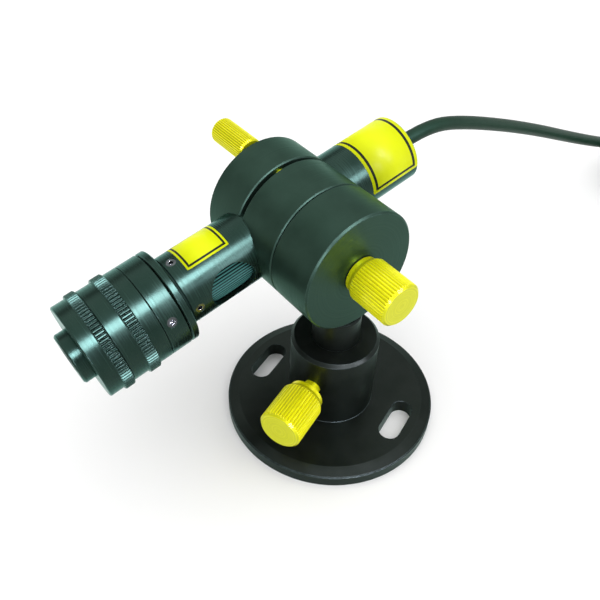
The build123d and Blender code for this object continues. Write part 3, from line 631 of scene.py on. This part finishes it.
# %% Dress the solids
FINISH_OF = {
    base_black: ["base_flange", "post"],
    drum_black: ["pivot_drum", "clamp_body", "clamp_cap"],
    tube_black: [
        "laser_tube", "rear_cap", "front_bush", "head_lock_ring", "head_barrel", "fan_ring",
        "front_barrel", "nose_ring", "lens_cell", "line_lens_carrier",
    ],
    base_brass: ["base_screw_stud", "base_screw_knob"],
    tilt_brass: ["tilt_screw_stud", "tilt_screw_knob"],
    clamp_brass: ["clamp_screw_stud", "clamp_screw_knob"],
    holder_brass: ["diode_holder"],
    screw_steel: ["post_set_screw", "tube_grub_screws", "head_grub_screws"],
    bright_steel: ["clamp_dowels", "laser_diode", "plug_barrel"],
    sleeve_teal: ["focus_sleeve"],
    nylon: ["friction_washer"],
    board: ["driver_board"],
    board_part: ["driver_parts"],
    glass: ["collimating_lens", "line_lens", "front_window"],
    rubber: ["cord_gland", "cord_plug", "cord_tie"],
    jacket: ["cord_lead", "cord_coil"],
}
for finish, names in FINISH_OF.items():
    for name in names:
        mesh = nodes[name].data
        mesh.materials.clear()
        mesh.materials.append(finish)
dressed = sum(len(names) for names in FINISH_OF.values())
print("dressed", dressed, "of", len(nodes), "solids")

# %% [markdown]
# ## Sticker film
# Two yellow film stickers lie on the tube, one before the clamp and one behind it. Each has a thin dark line
# inside its edge. The line could be a piece of its own, but as a print it belongs in the material: the patch
# stores its own millimetres as a UV map, and the line is drawn where the distance to the edge is right.

# %% Sticker film
FILM_BASE = (0.80, 0.88, 0.004)
FILM_FRESH = (0.82, 0.90, 0.004)
FILM_FADED = (0.79, 0.865, 0.005)
FILM_LINE = (0.02, 0.03, 0.02)
FILM_ROUGHNESS = 0.42
FILM_GLOSS = (0.32, 0.46)
FILM_SHINE = 0.1
FILM_CLOUD_SCALE = 260
FILM_GLOSS_SCALE = 1500


def lined_film(name, width, depth, margin, thick):
    """Yellow film with a dark line inside a margin; sizes in millimetres."""
    finish = Finish(name, FILM_BASE, FILM_ROUGHNESS)
    finish.put("Specular IOR Level", FILM_SHINE)
    split = finish.node("ShaderNodeSeparateXYZ")
    finish.tree.links.new(finish.node("ShaderNodeUVMap", uv_map="UVMap").outputs["UV"], split.inputs[0])
    across, along = split.outputs["X"], split.outputs["Y"]
    sides = finish.sum("MINIMUM", across, finish.sum("SUBTRACT", width, across))
    ends = finish.sum("MINIMUM", along, finish.sum("SUBTRACT", depth, along))
    inset = finish.sum("MINIMUM", sides, ends)
    line = finish.sum("COMPARE", inset, margin + thick / 2, thick / 2)
    cloud = finish.range(finish.noise(FILM_CLOUD_SCALE, FINE_DETAIL), 0, 1)
    film = finish.blend(cloud, FILM_FRESH, FILM_FADED)
    finish.put("Base Color", finish.blend(line, film, FILM_LINE))
    finish.put("Roughness", finish.range(finish.noise(FILM_GLOSS_SCALE), *FILM_GLOSS))
    return finish.material


print("film goes from", FILM_FRESH, "to", FILM_FADED)

# %% [markdown]
# ## Sticker patches
# A straight edge spun part of the way round the tube gives a patch that fits it exactly, and a bevel rounds
# the patch's corners. The tube slides in its clamp, so the film is thin enough to pass through the bore.

# %% Sticker shape
STICKER_GAP = 0.012 * MM
STICKER_STEPS = 48
CORNER_STEPS = 6


def tube_patch(start, end, first, sweep, corner):
    """A patch on the tube, from an angle and round by a sweep, with its millimetres as a UV map."""
    outward = TUBE_UP * math.cos(first) + DRUM * math.sin(first)
    reach = TUBE_RADIUS + STICKER_GAP
    patch = bmesh.new()
    ends = [patch.verts.new(TUBE_CENTRE + BEAM * place + outward * reach) for place in (start, end)]
    edge = patch.edges.new(ends)
    bmesh.ops.spin(
        patch, geom=[*ends, edge], cent=TUBE_CENTRE, axis=BEAM, angle=-sweep, steps=STICKER_STEPS
    )
    tips = [vertex for vertex in patch.verts if len(vertex.link_edges) == 2]
    bmesh.ops.bevel(
        patch, geom=tips, offset=corner, affect="VERTICES", segments=CORNER_STEPS, profile=0.5, material=-1
    )
    bmesh.ops.recalc_face_normals(patch, faces=patch.faces)
    uv = patch.loops.layers.uv.new("UVMap")
    for face in patch.faces:
        face.smooth = True
        for loop in face.loops:
            offset = loop.vert.co - TUBE_CENTRE
            angle = math.atan2(offset.dot(DRUM), offset.dot(TUBE_UP)) - first
            loop[uv].uv = (angle * TUBE_RADIUS / MM, (offset.dot(BEAM) - start) / MM)
    patch.faces.ensure_lookup_table()
    outer = patch.faces[0]
    if outer.normal.dot(outer.calc_center_median() - TUBE_CENTRE) < 0:
        bmesh.ops.reverse_faces(patch, faces=patch.faces)
    return patch


print("film lies", round(STICKER_GAP / MM, 3), "mm off the tube")

# %% Stickers
STICKER_THICKNESS = 0.02 * MM


def sticker(name, start, end, low_angle, high_angle, corner, margin, line):
    """Film on the tube, between two places along the beam and two angles from the top in degrees."""
    sweep = math.radians(high_angle - low_angle)
    patch = tube_patch(start, end, math.radians(low_angle), sweep, corner)
    mesh = bpy.data.meshes.new(name)
    patch.to_mesh(mesh)
    patch.free()
    width, depth = sweep * TUBE_RADIUS / MM, (end - start) / MM
    mesh.materials.append(lined_film(name + "_film", width, depth, margin, line))
    made = bpy.data.objects.new(name, mesh)
    scene.collection.objects.link(made)
    thick = made.modifiers.new("thickness", "SOLIDIFY")
    thick.thickness = STICKER_THICKNESS
    thick.offset = 1
    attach(made, "laser")
    print(name, "is", round(width, 1), "by", round(depth, 1), "mm")


sticker(
    "rear_sticker", start=-40.2 * MM, end=-23.0 * MM, low_angle=-70, high_angle=97,
    corner=0.8 * MM, margin=1.0, line=0.85,
)
sticker(
    "front_sticker", start=22.2 * MM, end=35.2 * MM, low_angle=-45, high_angle=28,
    corner=1.2 * MM, margin=0.6, line=0.6,
)

# %% [markdown]
# ## The plug
# The cord ends in a moulded grip with flexing rings behind a metal barrel. A profile spun round the cord's
# line makes every ring in one go, which is quicker and rounder than stacking discs. Each of its points is a
# radius and a place along the plug, in millimetres.

# %% Plug profile
PLUG_REAR = [(0.0, 0.0), (2.7, 0.0), (2.8, 0.3)]
FLEX_RINGS = 5
FLEX_START, FLEX_PITCH = 1.2, 2.1
FLEX_RADIUS, FLEX_GROWTH = 2.95, 0.24
FLEX_RING = [(0.0, 0.0), (0.0, 1.1), (-0.55, 1.3), (-0.5, 1.9)]
PLUG_SHOULDER = [(4.1, 12.0), (5.1, 12.1), (5.45, 12.5)]
GRIP_GROOVES = 4
GROOVE_START, GROOVE_PITCH = 15.5, 2.6
GROOVE = [(5.45, 0.0), (5.0, 0.3), (5.0, 1.0), (5.45, 1.3)]
PLUG_FRONT = [(5.45, 29.5), (5.0, 29.95), (0.0, 29.95)]

plug_profile = list(PLUG_REAR)
for ring in range(FLEX_RINGS):
    place = FLEX_START + FLEX_PITCH * ring
    radius = FLEX_RADIUS + FLEX_GROWTH * ring
    plug_profile += [(radius + out, place + along) for out, along in FLEX_RING]
plug_profile += PLUG_SHOULDER
for groove in range(GRIP_GROOVES):
    place = GROOVE_START + GROOVE_PITCH * groove
    plug_profile += [(radius, place + along) for radius, along in GROOVE]
plug_profile += PLUG_FRONT
print("plug profile:", len(plug_profile), "points")

# %% Plug grip
PLUG_STEPS = 48
MERGE_WITHIN = 0.001 * MM
SHARP_ANGLE = math.radians(40)

builder = bmesh.new()
chain = [
    builder.verts.new(plug_start + UP * radius * MM - REAR * place * MM) for radius, place in plug_profile
]
links = [builder.edges.new(pair) for pair in zip(chain, chain[1:])]
bmesh.ops.spin(
    builder, geom=chain + links, cent=plug_start, axis=REAR, angle=math.tau, steps=PLUG_STEPS, use_merge=True
)
bmesh.ops.remove_doubles(builder, verts=builder.verts, dist=MERGE_WITHIN)
bmesh.ops.recalc_face_normals(builder, faces=builder.faces)
for face in builder.faces:
    face.smooth = True
plug_mesh = bpy.data.meshes.new("plug_grip")
builder.to_mesh(plug_mesh)
builder.free()
plug_mesh.set_sharp_from_angle(angle=SHARP_ANGLE)
plug_mesh.materials.append(rubber)
plug = bpy.data.objects.new("plug_grip", plug_mesh)
scene.collection.objects.link(plug)
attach(plug, "carriage")
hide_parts("cord_plug")
print("plug grip faces:", len(plug_mesh.polygons))

# %% [markdown]
# ## The tie
# A strip of hook-and-loop tape holds the coil. It could be bent from a flat strip, but it is quicker to
# start from a rectangle with rounded corners, as large as the coil's section, draw its outline out to the
# tape's width and give that its thickness. A second, short strip is the end that sticks on top.

# %% Tie sizes and tape
TIE_WIDTH = 8.0 * MM
TIE_THICKNESS = 0.6 * MM
TIE_GAP = 0.3 * MM
TAPE = [(0.020, 0.021, 0.021), (0.036, 0.037, 0.037)]

tie_reach = (TIE_WIDTH + COIL_PITCH * MM) / 2
tie_hollow = (coil_inner + COIL_PITCH / 2) * MM - CORD_RADIUS
TIE_INNER = math.sqrt(tie_hollow**2 - tie_reach**2) - TIE_GAP
TIE_OUTER = (COIL_RADIUS - COIL_PITCH / 2) * MM + CORD_RADIUS + TIE_GAP
TIE_BOTTOM = COIL_LOW * MM - CORD_RADIUS - TIE_GAP / 2
TIE_TOP = COIL_TOP * MM + CORD_RADIUS + TIE_GAP
tie_floor = coil_centre - UP * coil_centre.z
tie_middle = tie_floor - REAR * (TIE_INNER + TIE_OUTER) / 2 + UP * (TIE_BOTTOM + TIE_TOP) / 2
tie_frame = Matrix((REAR, UP, DRUM)).transposed().to_4x4()
tape = moulded("tie_tape", *TAPE, roughness=0.85, grain=2600, shine=0.15)
print("tie goes round", round((TIE_OUTER - TIE_INNER) / MM, 1), "mm of coil")

# %% Tape helpers
TAPE_SOFT_EDGE = 0.12 * MM


def rounded_sheet(wide, high, rounding):
    """A flat sheet with rounded corners, round the origin."""
    sheet = bmesh.new()
    bmesh.ops.create_grid(sheet, x_segments=1, y_segments=1, size=0.5)
    bmesh.ops.scale(sheet, verts=sheet.verts, vec=(wide, high, 1))
    tips = sheet.verts[:]
    bmesh.ops.bevel(
        sheet, geom=tips, offset=rounding, affect="VERTICES", segments=CORNER_STEPS, profile=0.5, material=-1
    )
    return sheet


def finish_strap(name, strap, place):
    """Put a tape in its place, give it thickness and soft edges, and let it ride."""
    bmesh.ops.transform(strap, matrix=Matrix.Translation(place) @ tie_frame, verts=strap.verts)
    mesh = bpy.data.meshes.new(name)
    strap.to_mesh(mesh)
    strap.free()
    mesh.materials.append(tape)
    made = bpy.data.objects.new(name, mesh)
    scene.collection.objects.link(made)
    thick = made.modifiers.new("thickness", "SOLIDIFY")
    thick.thickness = TIE_THICKNESS
    thick.offset = 1
    soft = made.modifiers.new("soft_edge", "BEVEL")
    soft.width = TAPE_SOFT_EDGE
    soft.segments = 2
    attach(made, "carriage")
    print(name, "has", len(mesh.polygons), "faces before its thickness")
    return made


print("tape is", round(TIE_THICKNESS / MM, 1), "mm thick")

# %% Tie loop
TIE_ROUNDING = 1.0 * MM

builder = rounded_sheet(TIE_OUTER - TIE_INNER, TIE_TOP - TIE_BOTTOM, TIE_ROUNDING)
bmesh.ops.delete(builder, geom=builder.faces[:], context="FACES_ONLY")
drawn = bmesh.ops.extrude_edge_only(builder, edges=builder.edges[:])
moved = [item for item in drawn["geom"] if isinstance(item, bmesh.types.BMVert)]
bmesh.ops.translate(builder, verts=moved, vec=(0, 0, TIE_WIDTH))
bmesh.ops.translate(builder, verts=builder.verts, vec=(0, 0, -TIE_WIDTH / 2))
bmesh.ops.recalc_face_normals(builder, faces=builder.faces)
builder.faces.ensure_lookup_table()
outer = builder.faces[0]
if outer.normal.dot(outer.calc_center_median()) < 0:
    bmesh.ops.reverse_faces(builder, faces=builder.faces)
tie = finish_strap("tie_loop", builder, tie_middle)
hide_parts("cord_tie")

# %% Tie end
TIE_LAP = 12 * MM
LAP_ROUNDING = 1.5 * MM

builder = rounded_sheet(TIE_LAP, TIE_WIDTH, LAP_ROUNDING)
flat = Matrix.Rotation(math.radians(-90), 4, "X")
bmesh.ops.transform(builder, matrix=flat, verts=builder.verts)
lap_place = tie_middle + UP * ((TIE_TOP - TIE_BOTTOM) / 2 + TIE_THICKNESS)
tie_end = finish_strap("tie_end", builder, lap_place)

# %% [markdown]
# ## Floor
# The stand is shown on plain white paper. A wide matt sheet in near white is all that it takes, as long as
# the light on it is even, and it keeps the stand's soft shadow.

# %% Floor
FLOOR_HALF = 4.0
FLOOR_WHITE = (0.97, 0.97, 0.97)

builder = bmesh.new()
bmesh.ops.create_grid(builder, x_segments=1, y_segments=1, size=FLOOR_HALF)
floor_mesh = bpy.data.meshes.new("floor")
builder.to_mesh(floor_mesh)
builder.free()
floor = bpy.data.objects.new("floor", floor_mesh)
scene.collection.objects.link(floor)
paper = NodeKit("floor_paper", FLOOR_WHITE, roughness=0.9)
paper.put("Specular IOR Level", 0.0)
floor_mesh.materials.append(paper.material)
print("floor reaches", FLOOR_HALF, "m each way")

# %% [markdown]
# ## Light
# Black metal looks black only where it mirrors something dim. The room is therefore bright overhead, dim
# below that, and as pale as the floor at the horizon. A list of heights and shades is enough for that,
# because a room without corners looks the same all round.

# %% Room
SKY = [(0.0, 0.98), (0.24, 0.98), (0.42, 0.25), (0.46, 0.25), (0.76, 1.68)]

room = bpy.data.worlds.new("studio_room")
room.use_nodes = True
scene.world = room
tree = room.node_tree
sky = tree.nodes["Background"]
direction = tree.nodes.new("ShaderNodeTexCoord")
height = tree.nodes.new("ShaderNodeSeparateXYZ")
tree.links.new(direction.outputs["Generated"], height.inputs[0])
shades = tree.nodes.new("ShaderNodeValToRGB")
shades.color_ramp.interpolation = "EASE"
stops = shades.color_ramp.elements
stops.remove(stops[1])
for place, shade in SKY:
    stop = stops.new(place) if place > 0 else stops[0]
    stop.color = (shade, shade, shade, 1)
tree.links.new(height.outputs["Z"], shades.inputs["Fac"])
tree.links.new(shades.outputs["Color"], sky.inputs["Color"])
print("room light, by height:", SKY)

# %% [markdown]
# ## Lamps
# One strong lamp by the camera's right shoulder gives the streaks along tube and head, and two weaker ones
# of about the same width give glints on chamfers. Far lamps were chosen because their streaks stay the same
# all over the object. They are only mirrored, and the room alone gives the even light and the soft shadow.

# %% Lamps
LAMP_COLOUR = (0.95, 0.82, 1.0)


def lamp(name, azimuth, elevation, energy, width):
    """A far lamp that is only mirrored; angles in degrees, the azimuth from the stand's front."""
    data = bpy.data.lights.new(name, "SUN")
    data.energy = energy
    data.color = LAMP_COLOUR
    data.angle = math.radians(width)
    made = bpy.data.objects.new(name, data)
    scene.collection.objects.link(made)
    made.visible_diffuse = False
    level = math.cos(math.radians(elevation))
    turn = math.radians(azimuth)
    towards = Vector((math.sin(turn) * level, -math.cos(turn) * level, math.sin(math.radians(elevation))))
    made.rotation_euler = towards.to_track_quat("Z", "Y").to_euler()
    print(name, "shines with", energy)


lamp("shoulder_lamp", azimuth=64, elevation=55, energy=6.0, width=22)
lamp("front_lamp", azimuth=34, elevation=16, energy=3.2, width=20)
lamp("side_lamp", azimuth=91, elevation=33, energy=2.6, width=20)
scene.view_settings.view_transform = "Standard"

# %% [markdown]
